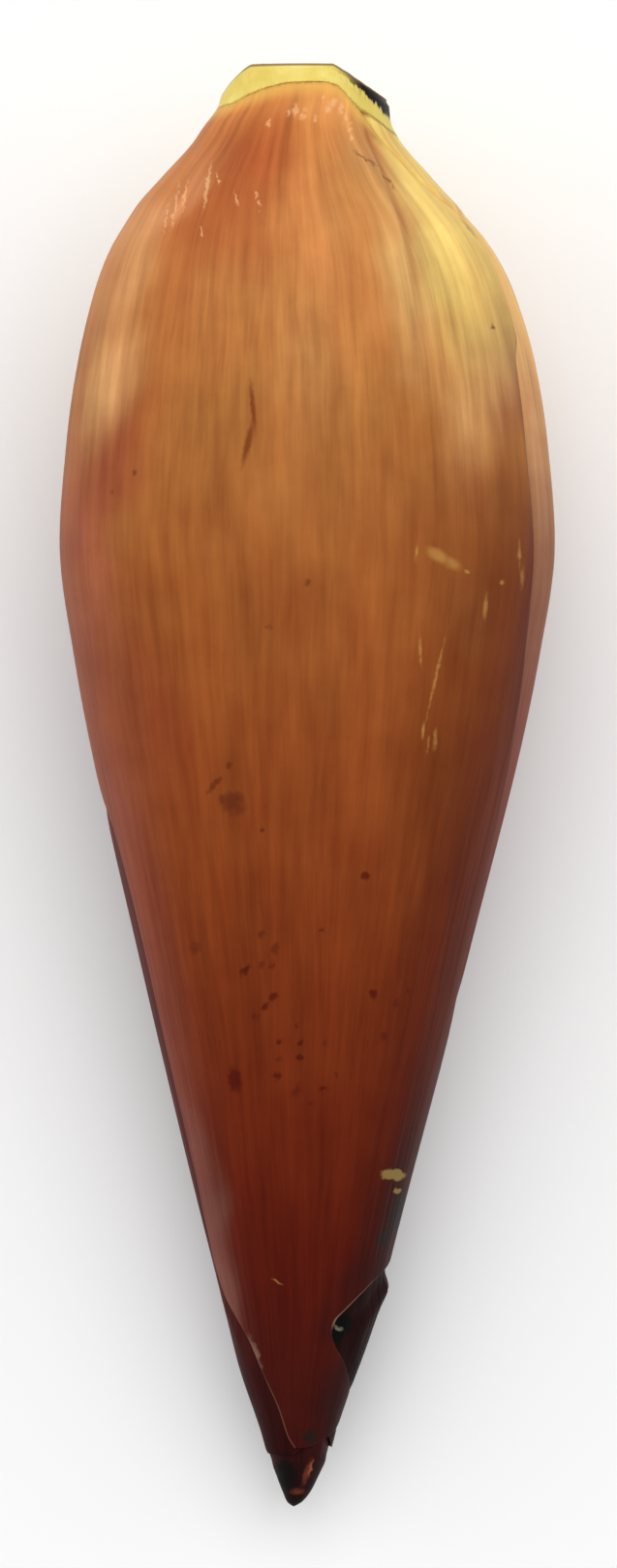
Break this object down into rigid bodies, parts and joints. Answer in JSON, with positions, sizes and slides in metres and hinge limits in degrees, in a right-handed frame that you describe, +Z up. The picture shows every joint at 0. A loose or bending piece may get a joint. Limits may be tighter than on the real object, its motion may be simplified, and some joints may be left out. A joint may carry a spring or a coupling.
{
  "type": "banana blossom",
  "caption": "Closed banana flower bud lying on its side: tapering bracts that overlap round an inner bud, with a cut stalk stub and hands of florets under the outer bracts.",
  "frame": {"origin": "on the table under the middle of the bud's bounding box", "axes": "+Y along the bud from its tip to its cut end, +X to the right seen from above with the cut end up, +Z up from the table"},
  "size_m": [0.0854, 0.249, 0.0796],
  "materials": {
    "front_bract": "waxy copper brown with fine long veins, darker and redder towards the tip",
    "side_bract": "waxy tan and mauve with fine long veins",
    "bud": "waxy dark maroon with a browned tip",
    "stalk": "moist pale yellow cut flesh with browned edges",
    "floret": "smooth cream"
  },
  "bodies": {
    "root": {"stalk": "stalk", "inner_bud": "bud", "front_bract": "front_bract", "right_bract": "side_bract", "left_bract": "side_bract", "front_floret_hand": "floret", "right_floret_hand": "floret", "left_floret_hand": "floret"}
  },
  "joints": []
}
